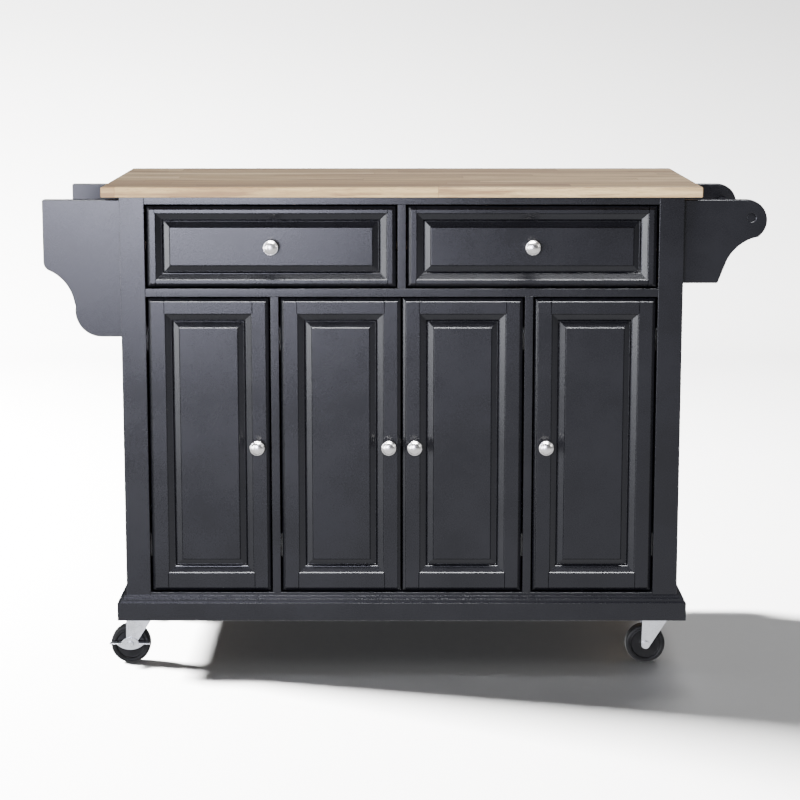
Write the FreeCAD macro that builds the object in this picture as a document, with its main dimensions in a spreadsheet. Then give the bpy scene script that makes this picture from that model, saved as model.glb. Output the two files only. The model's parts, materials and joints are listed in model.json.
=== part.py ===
"""Rolling kitchen island with a butcher block top.

X runs to the right, -Y towards the front and Z up, in millimetres. The origin is on the floor,
under the middle of the cabinet.
"""
import FreeCAD, Part
import os
import Sketcher
from FreeCAD import Placement, Rotation, Vector

doc = FreeCAD.newDocument("kitchen_island")
sheet = doc.addObject("Spreadsheet::Sheet", "sizes")
nodes = []


# ---------------------------------------------------------------- sizes and their formulas

class Size:
    """A length that knows both its value and its formula in terms of the sheet."""

    def __init__(self, number, formula):
        self.number = number
        self.formula = formula

    def __add__(self, other):
        other = as_size(other)
        return Size(self.number + other.number, f"({self.formula} + {other.formula})")

    def __sub__(self, other):
        other = as_size(other)
        return Size(self.number - other.number, f"({self.formula} - {other.formula})")

    def __mul__(self, factor):
        return Size(self.number * factor, f"({self.formula} * {factor})")

    def __truediv__(self, factor):
        return Size(self.number / factor, f"({self.formula} / {factor})")

    def __neg__(self):
        return Size(-self.number, f"(0 - {self.formula})")

    def __radd__(self, other):
        return as_size(other) + self

    def __rsub__(self, other):
        return as_size(other) - self


def as_size(value):
    return value if isinstance(value, Size) else Size(float(value), f"({value})")


sheet_row = 0


def size(alias, number):
    """Write one driving dimension to the sheet."""
    global sheet_row
    sheet_row += 1
    sheet.set(f"A{sheet_row}", alias.replace("_", " "))
    sheet.set(f"B{sheet_row}", str(number))
    sheet.setAlias(f"B{sheet_row}", alias)
    return Size(float(number), f"sizes.{alias}")


# worktop
top_width = size("top_width", 1090)
top_depth = size("top_depth", 457)
top_thickness = size("top_thickness", 19)
top_height = size("top_height", 914)
# cabinet
body_half_width = size("body_half_width", 516)
body_half_depth = size("body_half_depth", 200.5)
body_bottom = size("body_bottom", 100)
post_side = size("post_side", 45.5)
board = size("board", 15)
back_thickness = size("back_thickness", 6)
back_recess = size("back_recess", 4.5)
floor_height = size("floor_height", 150)
drawer_floor_height = size("drawer_floor_height", 725)
partition_offset = size("partition_offset", 234)
shelf_height = size("shelf_height", 420)
shelf_slack = size("shelf_slack", 1)
shelf_setback = size("shelf_setback", 35)
pin_radius = size("pin_radius", 2.5)
pin_reach = size("pin_reach", 9)
top_rail_depth = size("top_rail_depth", 60)
block_side = size("block_side", 70)
# base moulding
moulding_thickness = size("moulding_thickness", 16)
moulding_flat = size("moulding_flat", 36)
moulding_height = size("moulding_height", 45)
moulding_cap = size("moulding_cap", 8)
# doors and drawer fronts
gap = size("gap", 3)
front_thickness = size("front_thickness", 18)
sticking = size("sticking", 13.5)
sticking_depth = size("sticking_depth", 7)
door_stile = size("door_stile", 45)
door_top_rail = size("door_top_rail", 42)
door_bottom_rail = size("door_bottom_rail", 48)
drawer_stile = size("drawer_stile", 30)
drawer_rail = size("drawer_rail", 26.5)
panel_back = size("panel_back", 5)
panel_edge_depth = size("panel_edge_depth", 8)
panel_field_depth = size("panel_field_depth", 2)
panel_bevel = size("panel_bevel", 15)
panel_shoulder = size("panel_shoulder", 2)
# drawer boxes
drawer_wall = size("drawer_wall", 12)
drawer_side_gap = size("drawer_side_gap", 12.5)
drawer_box_lift = size("drawer_box_lift", 10)
drawer_box_height = size("drawer_box_height", 112)
drawer_box_depth = size("drawer_box_depth", 335)
drawer_bottom_thickness = size("drawer_bottom_thickness", 5)
runner_height = size("runner_height", 16)
runner_reach = size("runner_reach", 6)
runner_slack = size("runner_slack", 0.5)
runner_setback = size("runner_setback", 40)
# knobs
knob_radius = size("knob_radius", 14)
knob_length = size("knob_length", 25)
knob_hole_radius = size("knob_hole_radius", 2.2)
knob_stud_radius = size("knob_stud_radius", 2)
knob_stud_length = size("knob_stud_length", 12)
knob_foot_radius = size("knob_foot_radius", 7.5)
knob_neck_radius = size("knob_neck_radius", 5.5)
knob_rim = size("knob_rim", 6.5)
# concealed hinges
hinge_height_inset = size("hinge_height_inset", 80)
hinge_cup_radius = size("hinge_cup_radius", 13)
hinge_cup_depth = size("hinge_cup_depth", 10)
hinge_cup_inset = size("hinge_cup_inset", 20)
hinge_flange = size("hinge_flange", 1.5)
hinge_flange_half = size("hinge_flange_half", 28)
hinge_arm_clearance = size("hinge_arm_clearance", 3)
hinge_arm_length = size("hinge_arm_length", 60)
hinge_arm_width = size("hinge_arm_width", 10)
hinge_arm_half_height = size("hinge_arm_half_height", 7)
hinge_plate_thickness = size("hinge_plate_thickness", 4)
hinge_plate_half_height = size("hinge_plate_half_height", 22)
hinge_plate_start = size("hinge_plate_start", 12)
hinge_plate_length = size("hinge_plate_length", 30)
# end boards that carry the spice rack and the towel bar
end_board_face = size("end_board_face", 183.5)
end_board_thickness = size("end_board_thickness", 18)
end_board_top = size("end_board_top", 887)
rack_reach = size("rack_reach", 143.5)
rack_bottom = size("rack_bottom", 633)
spice_shelf = size("spice_shelf", 12)
spice_rail = size("spice_rail", 10)
upper_spice_height = size("upper_spice_height", 775)
lower_spice_height = size("lower_spice_height", 640)
upper_spice_depth = size("upper_spice_depth", 126)
lower_spice_depth = size("lower_spice_depth", 60)
upper_rail_inset = size("upper_rail_inset", 6)
lower_rail_inset = size("lower_rail_inset", 60)
spice_rail_lift = size("spice_rail_lift", 35)
spice_rail_height = size("spice_rail_height", 28)
bracket_bottom = size("bracket_bottom", 733)
bracket_nose_radius = size("bracket_nose_radius", 37.6)
bracket_nose_reach = size("bracket_nose_reach", 116.8)
towel_bar_reach = size("towel_bar_reach", 125)
towel_bar_height = size("towel_bar_height", 854)
towel_bar_radius = size("towel_bar_radius", 8)
towel_bar_recess = size("towel_bar_recess", 2)
# casters
caster_x = size("caster_x", 490)
caster_y = size("caster_y", 149.5)
caster_trail = size("caster_trail", 26)
wheel_radius = size("wheel_radius", 37.5)
wheel_half_width = size("wheel_half_width", 12)
axle_radius = size("axle_radius", 4)
running_clearance = size("running_clearance", 0.05)
plate_side = size("plate_side", 60)
plate_thickness = size("plate_thickness", 3)
raceway_radius = size("raceway_radius", 21)
raceway_height = size("raceway_height", 8.5)
raceway_clearance = size("raceway_clearance", 0.3)
crown_thickness = size("crown_thickness", 2.5)
fork_half_width = size("fork_half_width", 16)
fork_leg = size("fork_leg", 2.5)
fork_front = size("fork_front", 15.5)
fork_rear = size("fork_rear", 33)
fork_foot_radius = size("fork_foot_radius", 8)
kingpin_radius = size("kingpin_radius", 5)
kingpin_head = size("kingpin_head", 3)
kingpin_head_radius = size("kingpin_head_radius", 8.5)
screw_inset = size("screw_inset", 7)
screw_head_radius = size("screw_head_radius", 4)
screw_head_height = size("screw_head_height", 2.2)
axle_overhang = size("axle_overhang", 1.5)
axle_head_radius = size("axle_head_radius", 7)
axle_head_height = size("axle_head_height", 2.5)
axle_nut_height = size("axle_nut_height", 3.5)
hub_radius = size("hub_radius", 11)
web_half_width = size("web_half_width", 7)
rim_radius = size("rim_radius", 28)
tread_round = size("tread_round", 3)
brake_half_length = size("brake_half_length", 38)
brake_clearance = size("brake_clearance", 0.5)
brake_tip = size("brake_tip", 8)
brake_drop = size("brake_drop", 9.5)
brake_crest = size("brake_crest", 14.5)
brake_thickness = size("brake_thickness", 2)
brake_pedal_height = size("brake_pedal_height", 6)
brake_pedal_start = size("brake_pedal_start", 16)
brake_flange = size("brake_flange", 12)

doc.recompute()

# derived sizes
top_underside = top_height - top_thickness
opening_half_width = body_half_width - post_side
inner_half_width = body_half_width - board
post_inner_y = body_half_depth - post_side
back_face = body_half_depth - back_recess
back_inner = back_face - back_thickness
mid_panel_under = drawer_floor_height - board
drawer_opening_top = top_underside - board
partition_inner = partition_offset - board / 2
partition_outer = partition_offset + board / 2
moulding_top = body_bottom + moulding_height


# ---------------------------------------------------------------- modelling helpers

def bind(piece, prop, length):
    """Drive one property from the sheet."""
    piece.setExpression(prop, as_size(length).formula)


def move(piece, x, y, z, rotation=Rotation()):
    piece.Placement = Placement(Vector(0, 0, 0), rotation)
    for letter, length in zip("xyz", (x, y, z)):
        bind(piece, f"Placement.Base.{letter}", length)
    return piece


def box(name, low, high):
    """A block between two opposite corners."""
    piece = doc.addObject("Part::Box", name)
    for prop, start, end in zip(("Length", "Width", "Height"), low, high):
        bind(piece, prop, as_size(end) - as_size(start))
    return move(piece, *low)


AXIS_TURN = {
    "+X": Rotation(Vector(0, 1, 0), 90),
    "+Y": Rotation(Vector(1, 0, 0), -90),
    "+Z": Rotation(),
}


def cylinder(name, base, axis, radius, length):
    """A rod that starts at base and runs along a positive axis."""
    piece = doc.addObject("Part::Cylinder", name)
    bind(piece, "Radius", radius)
    bind(piece, "Height", length)
    return move(piece, *base, AXIS_TURN[axis])


def frustum(name, low, high, base_inset, face_inset):
    """A four-sided taper between two Y planes, its back inset one amount and its front another."""
    (x0, y0, z0), (x1, y1, z1) = low, high
    piece = doc.addObject("Part::Wedge", name)
    width, depth, height = (as_size(b) - as_size(a) for a, b in ((x0, x1), (y0, y1), (z0, z1)))
    bind(piece, "Ymin", 0)
    bind(piece, "Ymax", depth)
    bind(piece, "Xmin", face_inset)
    bind(piece, "Xmax", width - face_inset)
    bind(piece, "Zmin", face_inset)
    bind(piece, "Zmax", height - face_inset)
    bind(piece, "X2min", base_inset)
    bind(piece, "X2max", width - base_inset)
    bind(piece, "Z2min", base_inset)
    bind(piece, "Z2max", height - base_inset)
    return move(piece, x0, y0, z0)


def fuse(name, *pieces):
    result = doc.addObject("Part::MultiFuse", name)
    result.Shapes = list(pieces)
    result.Refine = True
    return result


def cut(name, base, *tools):
    result = doc.addObject("Part::Cut", name)
    result.Base = base
    result.Tool = tools[0] if len(tools) == 1 else fuse(name + "_tools", *tools)
    return result


def group(name, *pieces):
    """Separate solids that share one node."""
    result = doc.addObject("Part::Compound", name)
    result.Links = list(pieces)
    return result


def node(piece, label):
    piece.Label = label
    nodes.append(piece)
    return piece


def plane_of(body, role):
    return next(item for item in body.Origin.OriginFeatures if item.Role == role)


def sketch(body, name, role, steps):
    """A closed outline. Each step is (u, v) for a line, or (u, v, mid_u, mid_v) for an arc."""
    drawing = body.newObject("Sketcher::SketchObject", name)
    drawing.AttachmentSupport = (plane_of(body, role), "")
    drawing.MapMode = "FlatFace"
    points = [(as_size(step[0]), as_size(step[1])) for step in steps]
    flat = [Vector(u.number, v.number, 0) for u, v in points]
    start_of, end_of = [], []
    for index, step in enumerate(steps):
        start, end, forward = flat[index - 1], flat[index], True
        if len(step) == 2:
            drawing.addGeometry(Part.LineSegment(start, end))
        else:
            middle = Vector(as_size(step[2]).number, as_size(step[3]).number, 0)
            forward = (middle - start).cross(end - middle).z > 0
            ends = (start, end) if forward else (end, start)
            drawing.addGeometry(Part.ArcOfCircle(ends[0], middle, ends[1]))
        start_of.append(1 if forward else 2)
        end_of.append(2 if forward else 1)
    pin_corners(drawing, steps, points, start_of, end_of)
    return drawing


def pin_corners(drawing, steps, points, start_of, end_of):
    """Join the outline's ends and bind each corner and each arc's radius to the sheet."""
    for index in range(len(steps)):
        following = (index + 1) % len(steps)
        drawing.addConstraint(Sketcher.Constraint(
            "Coincident", index, end_of[index], following, start_of[following]))
    for index, (u, v) in enumerate(points):
        for kind, length in (("DistanceX", u), ("DistanceY", v)):
            place = drawing.addConstraint(Sketcher.Constraint(
                kind, -1, 1, index, end_of[index], length.number))
            drawing.setExpression(f"Constraints[{place}]", length.formula)
    for index, step in enumerate(steps):
        if len(step) == 4:
            radius = drawing.Geometry[index].Radius
            drawing.addConstraint(Sketcher.Constraint("Radius", index, radius))


def prism(name, role, steps, length):
    """An outline pushed out along its plane's normal."""
    body = doc.addObject("PartDesign::Body", name)
    drawing = sketch(body, name + "_outline", role, steps)
    pad = body.newObject("PartDesign::Pad", name + "_pad")
    pad.Profile = drawing
    bind(pad, "Length", length)
    body.Tip = pad
    return body


def turned(name, steps):
    """A half outline on the XY plane, with u as radius and v along Y, turned about Y."""
    body = doc.addObject("PartDesign::Body", name)
    drawing = sketch(body, name + "_outline", "XY_Plane", steps)
    turn = body.newObject("PartDesign::Revolution", name + "_turn")
    turn.Profile = drawing
    turn.ReferenceAxis = (drawing, ["V_Axis"])
    turn.Angle = 360
    body.Tip = turn
    return body


def mirror_pair(low, high):
    """The same block on the left and on the right of the cabinet."""
    (x0, y0, z0), (x1, y1, z1) = low, high
    return ((low, high), ((-as_size(x1), y0, z0), (-as_size(x0), y1, z1)))


# ---------------------------------------------------------------- worktop

node(box("worktop",
         (-top_width / 2, -top_depth / 2, top_underside),
         (top_width / 2, top_depth / 2, top_height)), "butcher_block_top")


# ---------------------------------------------------------------- cabinet

def post(name, x_side, y_side):
    x_near, x_far = (-body_half_width, -opening_half_width)
    y_near, y_far = (-body_half_depth, -post_inner_y)
    if x_side > 0:
        x_near, x_far = opening_half_width, body_half_width
    if y_side > 0:
        y_near, y_far = post_inner_y, body_half_depth
    return box(name, (x_near, y_near, body_bottom), (x_far, y_far, top_underside))


corners = [("front_left", -1, -1), ("front_right", 1, -1), ("rear_left", -1, 1), ("rear_right", 1, 1)]
node(group("posts", *(post(f"post_{place}", x, y) for place, x, y in corners)), "corner_posts")

left_side, right_side = mirror_pair(
    (-body_half_width, -post_inner_y, body_bottom), (-inner_half_width, post_inner_y, top_underside))
node(box("left_side", *left_side), "side_panel_left")
node(box("right_side", *right_side), "side_panel_right")
node(box("back", (-opening_half_width, back_inner, body_bottom),
         (opening_half_width, back_face, top_underside)), "back_panel")


def notched_panel(name, low_z, high_z):
    """A full-width panel that fits round the four corner posts."""
    long_way = box(name + "_long", (-opening_half_width, -body_half_depth, low_z),
                   (opening_half_width, back_inner, high_z))
    wide_way = box(name + "_wide", (-inner_half_width, -post_inner_y, low_z),
                   (inner_half_width, post_inner_y, high_z))
    return fuse(name, long_way, wide_way)


node(notched_panel("floor_panel", floor_height - board, floor_height), "bottom_panel")
node(notched_panel("middle_panel", mid_panel_under, drawer_floor_height), "middle_panel")

left_partition, right_partition = mirror_pair(
    (-partition_outer, -body_half_depth, floor_height),
    (-partition_inner, back_inner, mid_panel_under))
node(box("partition_l", *left_partition), "partition_left")
node(box("partition_r", *right_partition), "partition_right")
node(box("divider", (-board / 2, -body_half_depth, drawer_floor_height),
         (board / 2, back_inner, drawer_opening_top)), "drawer_divider")

front_rail = box("front_rail", (-opening_half_width, -body_half_depth, drawer_opening_top),
                 (opening_half_width, -body_half_depth + top_rail_depth, top_underside))
rear_rail = box("rear_rail", (-opening_half_width, back_inner - top_rail_depth, drawer_opening_top),
                (opening_half_width, back_inner, top_underside))
node(group("rails", front_rail, rear_rail), "top_rails")


def corner_block(name, x_side, y_side):
    low_x, high_x = -inner_half_width, -inner_half_width + block_side
    low_y, high_y = -post_inner_y, -post_inner_y + block_side
    if x_side > 0:
        low_x, high_x = inner_half_width - block_side, inner_half_width
    if y_side > 0:
        low_y, high_y = post_inner_y - block_side, post_inner_y
    return box(name, (low_x, low_y, body_bottom), (high_x, high_y, floor_height - board))


node(group("blocks", *(corner_block(f"block_{place}", x, y) for place, x, y in corners)),
     "corner_blocks")


# ---------------------------------------------------------------- shelves and their pins

bay_edges = {
    "left": (-inner_half_width, -partition_outer),
    "centre": (-partition_inner, partition_inner),
    "right": (partition_outer, inner_half_width),
}
shelf_pins = []
shelf_front = -post_inner_y + shelf_slack
shelf_back = post_inner_y - shelf_slack
for bay, (low_x, high_x) in bay_edges.items():
    node(box(f"{bay}_shelf_board", (low_x + shelf_slack, shelf_front, shelf_height),
             (high_x - shelf_slack, shelf_back, shelf_height + board)), f"shelf_{bay}")
    for row, pin_y in (("front", shelf_front + shelf_setback), ("rear", shelf_back - shelf_setback)):
        height = shelf_height - pin_radius
        for edge, start in (("low", low_x), ("high", high_x - pin_reach)):
            shelf_pins.append(cylinder(f"pin_{bay}_{row}_{edge}", (start, pin_y, height), "+X",
                                       pin_radius, pin_reach))
node(group("pins", *shelf_pins), "shelf_pins")


# ---------------------------------------------------------------- base moulding

def moulding_length(name, low, high, cap_low, cap_high):
    lower = box(name + "_lower", (*low, body_bottom), (*high, body_bottom + moulding_flat))
    cap = box(name + "_cap", (*cap_low, body_bottom + moulding_flat), (*cap_high, moulding_top))
    return fuse(name, lower, cap)


outer_x, outer_y = body_half_width + moulding_thickness, body_half_depth + moulding_thickness
cap_x, cap_y = body_half_width + moulding_cap, body_half_depth + moulding_cap
front_moulding = moulding_length(
    "moulding_front", (-outer_x, -outer_y), (outer_x, -body_half_depth),
    (-cap_x, -cap_y), (cap_x, -body_half_depth))
rear_moulding = moulding_length(
    "moulding_rear", (-outer_x, body_half_depth), (outer_x, outer_y),
    (-cap_x, body_half_depth), (cap_x, cap_y))
left_moulding = moulding_length(
    "moulding_left", (-outer_x, -body_half_depth), (-body_half_width, body_half_depth),
    (-cap_x, -body_half_depth), (-body_half_width, body_half_depth))
right_moulding = moulding_length(
    "moulding_right", (body_half_width, -body_half_depth), (outer_x, body_half_depth),
    (body_half_width, -body_half_depth), (cap_x, body_half_depth))
node(group("mouldings", front_moulding, rear_moulding, left_moulding, right_moulding),
     "base_moulding")


# ---------------------------------------------------------------- knobs

def knob(label, x, z):
    """A mushroom knob and the stud that holds it, both turned about the same axis."""
    crown_radius = knob_radius - 2.5
    head = turned(label + "_turning", [
        (0, knob_stud_length),
        (0, -knob_length),
        (crown_radius, -knob_length + 3.5, crown_radius * 0.565, -knob_length + 0.9),
        (knob_radius - 2, -knob_length + 4.2),
        (knob_radius, -knob_length + knob_rim),
        (knob_radius - 1.5, -knob_length + 9),
        (knob_neck_radius + 0.5, -knob_length + 12.5),
        (knob_neck_radius, -knob_length + 18),
        (knob_foot_radius, -2),
        (knob_foot_radius, 0),
        (knob_stud_radius, 0),
        (knob_stud_radius, knob_stud_length),
    ])
    return node(move(head, x, -body_half_depth, z), label)


def knob_hole(name, x, z):
    return cylinder(name, (x, -body_half_depth - 1, z), "+Y", knob_hole_radius,
                    knob_stud_length + 2)


# ---------------------------------------------------------------- framed fronts

def raised_panel(name, low_x, high_x, low_z, high_z):
    """A flat back with a bevelled raised field in front of it."""
    front, back = -body_half_depth, -body_half_depth + front_thickness - panel_back
    flat = box(name + "_flat", (low_x, front + panel_edge_depth, low_z), (high_x, back, high_z))
    field = frustum(name + "_field", (low_x, front + panel_field_depth, low_z),
                    (high_x, front + panel_edge_depth, high_z), panel_shoulder, panel_bevel)
    return fuse(name, flat, field)


def front_frame(name, low_x, high_x, low_z, high_z, stile, bottom_rail, top_rail, holes):
    """Two stiles and two rails with a sloped inner edge, and holes for the knob and hinges."""
    front, back = -body_half_depth, -body_half_depth + front_thickness
    slab = box(name + "_slab", (low_x, front, low_z), (high_x, back, high_z))
    opening = box(name + "_opening", (low_x + stile, front - 1, low_z + bottom_rail),
                  (high_x - stile, back + 1, high_z - top_rail))
    slope = frustum(name + "_slope",
                    (low_x + stile - sticking, front, low_z + bottom_rail - sticking),
                    (high_x - stile + sticking, front + sticking_depth,
                     high_z - top_rail + sticking),
                    sticking, 0)
    return cut(name, slab, opening, slope, *holes)


# ---------------------------------------------------------------- drawers

drawer_low_z, drawer_high_z = drawer_floor_height + gap, drawer_opening_top - gap
box_front = -body_half_depth + front_thickness
box_back = box_front + drawer_box_depth
box_low_z = drawer_floor_height + drawer_box_lift
box_high_z = box_low_z + drawer_box_height
runner_low_z = box_low_z + drawer_box_height / 2


def drawer(side, open_low, open_high):
    name = f"drawer_{side}"
    low_x, high_x = open_low + gap, open_high - gap
    middle_x, middle_z = (open_low + open_high) / 2, (drawer_low_z + drawer_high_z) / 2
    hole = knob_hole(name + "_knob_hole", middle_x, middle_z)
    frame = front_frame(name + "_frame", low_x, high_x, drawer_low_z, drawer_high_z,
                        drawer_stile, drawer_rail, drawer_rail, [])
    panel = raised_panel(name + "_panel", low_x + drawer_stile, high_x - drawer_stile,
                         drawer_low_z + drawer_rail, drawer_high_z - drawer_rail)
    node(cut(name + "_face", fuse(name + "_face_blank", frame, panel), hole), f"{name}_front")
    knob(f"{name}_knob", middle_x, middle_z)

    wall_low, wall_high = open_low + drawer_side_gap, open_high - drawer_side_gap
    outside = box(name + "_outside", (wall_low, box_front, box_low_z),
                  (wall_high, box_back, box_high_z))
    inside = box(name + "_inside", (wall_low + drawer_wall, box_front + drawer_wall, box_low_z - 1),
                 (wall_high - drawer_wall, box_back - drawer_wall, box_high_z + 1))
    grooves = []
    for edge, start, end in (("low", wall_low - 1, wall_low + runner_reach + runner_slack),
                             ("high", wall_high - runner_reach - runner_slack, wall_high + 1)):
        grooves.append(box(f"{name}_groove_{edge}",
                           (start, box_front - 1, runner_low_z - runner_slack),
                           (end, box_back + 1, runner_low_z + runner_height + runner_slack)))
    node(cut(name + "_walls", outside, inside, *grooves), f"{name}_box")
    node(box(name + "_base",
             (wall_low + drawer_wall, box_front + drawer_wall, box_low_z + 5),
             (wall_high - drawer_wall, box_back - drawer_wall,
              box_low_z + 5 + drawer_bottom_thickness)), f"{name}_bottom")
    reach = drawer_side_gap + runner_reach
    return [box(f"{name}_runner_{edge}", (start, box_front + runner_setback, runner_low_z),
                (start + reach, back_inner, runner_low_z + runner_height))
            for edge, start in (("low", open_low), ("high", open_high - reach))]


runners = (drawer("left", -opening_half_width, -board / 2)
           + drawer("right", board / 2, opening_half_width))
node(group("runners", *runners), "drawer_runners")


# ---------------------------------------------------------------- doors

door_low_z, door_high_z = floor_height + gap, mid_panel_under - gap
hinge_heights = (door_low_z + hinge_height_inset, door_high_z - hinge_height_inset)
hinge_plates = []


def door(label, low_x, high_x, hinge_side, frame_face):
    """hinge_side is -1 when the door hangs on its left edge; frame_face is where its plates sit."""
    if hinge_side < 0:
        cup_x, knob_x = low_x + hinge_cup_inset, high_x - door_stile / 2
        plate_low, plate_high = frame_face, frame_face + hinge_plate_thickness
        arm_low, arm_high = plate_high, plate_high + hinge_arm_width
    else:
        cup_x, knob_x = high_x - hinge_cup_inset, low_x + door_stile / 2
        plate_low, plate_high = frame_face - hinge_plate_thickness, frame_face
        arm_low, arm_high = plate_low - hinge_arm_width, plate_low
    knob_z = (door_low_z + door_high_z) / 2
    back = -body_half_depth + front_thickness
    holes = [knob_hole(label + "_knob_hole", knob_x, knob_z)]
    cups = []
    for place, cup_z in zip(("lower", "upper"), hinge_heights):
        seat = (cup_x, back - hinge_cup_depth, cup_z)
        holes.append(cylinder(f"{label}_{place}_seat", seat, "+Y", hinge_cup_radius,
                              hinge_cup_depth + 1))
        cup = cylinder(f"{label}_{place}_cup", seat, "+Y", hinge_cup_radius, hinge_cup_depth)
        flange = box(f"{label}_{place}_flange",
                     (cup_x - hinge_cup_radius, back, cup_z - hinge_flange_half),
                     (cup_x + hinge_cup_radius, back + hinge_flange, cup_z + hinge_flange_half))
        cups.append(fuse(f"{label}_{place}_hinge", cup, flange))
        arm_front = back + hinge_flange + hinge_arm_clearance
        plate_front = arm_front + hinge_plate_start
        plate = box(f"{label}_{place}_plate",
                    (plate_low, plate_front, cup_z - hinge_plate_half_height),
                    (plate_high, plate_front + hinge_plate_length, cup_z + hinge_plate_half_height))
        arm = box(f"{label}_{place}_arm",
                  (arm_low, arm_front, cup_z - hinge_arm_half_height),
                  (arm_high, arm_front + hinge_arm_length, cup_z + hinge_arm_half_height))
        hinge_plates.append(fuse(f"{label}_{place}_mount", plate, arm))
    node(front_frame(label + "_joinery", low_x, high_x, door_low_z, door_high_z,
                     door_stile, door_bottom_rail, door_top_rail, holes), f"{label}_frame")
    node(raised_panel(label + "_raised", low_x + door_stile, high_x - door_stile,
                      door_low_z + door_bottom_rail, door_high_z - door_top_rail),
         f"{label}_panel")
    node(group(label + "_hinge_pair", *cups), f"{label}_hinges")
    knob(f"{label}_knob", knob_x, knob_z)


door("door_left", -opening_half_width + gap, -partition_outer - gap, -1, -opening_half_width)
door("door_centre_left", -partition_inner + gap, -gap / 2, -1, -partition_inner)
door("door_centre_right", gap / 2, partition_inner - gap, 1, partition_inner)
door("door_right", partition_outer + gap, opening_half_width - gap, 1, opening_half_width)
node(group("plates_on_cabinet", *hinge_plates), "hinge_plates")


# ---------------------------------------------------------------- spice rack

def end_board(name, steps, y_front):
    """A shaped board standing in the XZ plane, its front face at y_front."""
    blank = prism(name, "XZ_Plane", steps, end_board_thickness)
    return move(blank, 0, y_front + end_board_thickness, 0)


rack_edge = -body_half_width - rack_reach
rack_outline = [
    (-body_half_width, end_board_top),
    (rack_edge + 3, end_board_top),
    (rack_edge, end_board_top - 3, rack_edge + 0.88, end_board_top - 0.88),
    (rack_edge, end_board_top - 115),
    (rack_edge + 11.5, end_board_top - 131.4, rack_edge + 3.2, end_board_top - 125),
    (rack_edge + 55.3, end_board_top - 190, rack_edge + 37.7, end_board_top - 151.5),
    (rack_edge + 57.5, end_board_top - 197),
    (rack_edge + 103.5, rack_bottom, rack_edge + 71.2, end_board_top - 240.1),
    (-body_half_width, rack_bottom),
]
rear_face = end_board_face - end_board_thickness
node(group("rack_boards", end_board("rack_board_front", rack_outline, -end_board_face),
           end_board("rack_board_rear", rack_outline, rear_face)), "spice_rack_end_boards")

upper_shelf = box("upper_spice_shelf",
                  (-body_half_width - upper_spice_depth, -rear_face, upper_spice_height),
                  (-body_half_width, rear_face, upper_spice_height + spice_shelf))
lower_shelf = box("lower_spice_shelf",
                  (-body_half_width - lower_spice_depth, -rear_face, lower_spice_height),
                  (-body_half_width, rear_face, lower_spice_height + spice_shelf))
node(group("spice_shelves", upper_shelf, lower_shelf), "spice_rack_shelves")


def spice_rail_at(name, low_x, shelf_z):
    return box(name, (low_x, -rear_face, shelf_z + spice_rail_lift),
               (low_x + spice_rail, rear_face, shelf_z + spice_rail_lift + spice_rail_height))


upper_rail = spice_rail_at("upper_spice_rail", rack_edge + upper_rail_inset, upper_spice_height)
lower_rail = spice_rail_at("lower_spice_rail", rack_edge + lower_rail_inset, lower_spice_height)
node(group("spice_rails", upper_rail, lower_rail), "spice_rack_rails")


# ---------------------------------------------------------------- towel bar

nose_x = body_half_width + bracket_nose_reach
nose_z = end_board_top - bracket_nose_radius
bracket_outline = [
    (body_half_width, end_board_top),
    (body_half_width, bracket_bottom),
    (body_half_width + 63, bracket_bottom),
    (body_half_width + 67, bracket_bottom + 3, body_half_width + 65.8, bracket_bottom + 0.9),
    (body_half_width + 80.5, end_board_top - 115.5),
    (body_half_width + 127, end_board_top - 71.4, body_half_width + 103, end_board_top - 85.3),
    (nose_x + 21.7, nose_z - 30.7),
    (nose_x, end_board_top, nose_x + bracket_nose_radius, nose_z),
]
bar_x = body_half_width + towel_bar_reach
for place, y_front in (("front", -end_board_face), ("rear", rear_face)):
    blank = end_board(f"bracket_{place}", bracket_outline, y_front)
    bore = cylinder(f"bracket_{place}_bore", (bar_x, y_front - 1, towel_bar_height), "+Y",
                    towel_bar_radius, end_board_thickness + 2)
    node(cut(f"bracket_{place}_bored", blank, bore), f"towel_bracket_{place}")
bar_end = end_board_face - towel_bar_recess
node(cylinder("bar", (bar_x, -bar_end, towel_bar_height), "+Y", towel_bar_radius, bar_end * 2),
     "towel_bar")


# ---------------------------------------------------------------- casters

plate_under = body_bottom - plate_thickness
raceway_top = plate_under - raceway_clearance
crown_top = raceway_top - raceway_height
crown_under = crown_top - crown_thickness
leg_inner = fork_half_width - fork_leg
screw_offset = plate_side / 2 - screw_inset


def caster_plate(place, x, y):
    """The fixed half: a screwed plate with its king pin."""
    name = f"plate_{place}"
    sheet_metal = box(name + "_sheet", (x - plate_side / 2, y - plate_side / 2, plate_under),
                      (x + plate_side / 2, y + plate_side / 2, body_bottom))
    pin_low = crown_under - running_clearance - kingpin_head
    pin = cylinder(name + "_pin", (x, y, pin_low), "+Z", kingpin_radius, plate_under - pin_low)
    head = cylinder(name + "_head", (x, y, pin_low), "+Z", kingpin_head_radius, kingpin_head)
    screws = [cylinder(f"{name}_screw_{index}",
                       (x + screw_offset * dx, y + screw_offset * dy,
                        plate_under - screw_head_height),
                       "+Z", screw_head_radius, screw_head_height)
              for index, (dx, dy) in enumerate(((-1, -1), (1, -1), (-1, 1), (1, 1)))]
    return fuse(name, sheet_metal, pin, head, *screws)


def fork_leg_plate(name, x, y_back):
    """One leg, seen from the side: wide at the crown and round at the axle."""
    foot, slant = fork_foot_radius, fork_foot_radius * 0.7071
    steps = [
        (fork_front, crown_top),
        (-fork_rear, crown_top),
        (-caster_trail - foot, wheel_radius),
        (-caster_trail, wheel_radius - foot, -caster_trail - slant, wheel_radius - slant),
        (-caster_trail + foot * 0.82, wheel_radius - foot * 0.572,
         -caster_trail + foot * 0.462, wheel_radius - foot * 0.887),
    ]
    leg = prism(name, "XZ_Plane", steps, fork_leg)
    return move(leg, x, y_back, 0)


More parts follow.
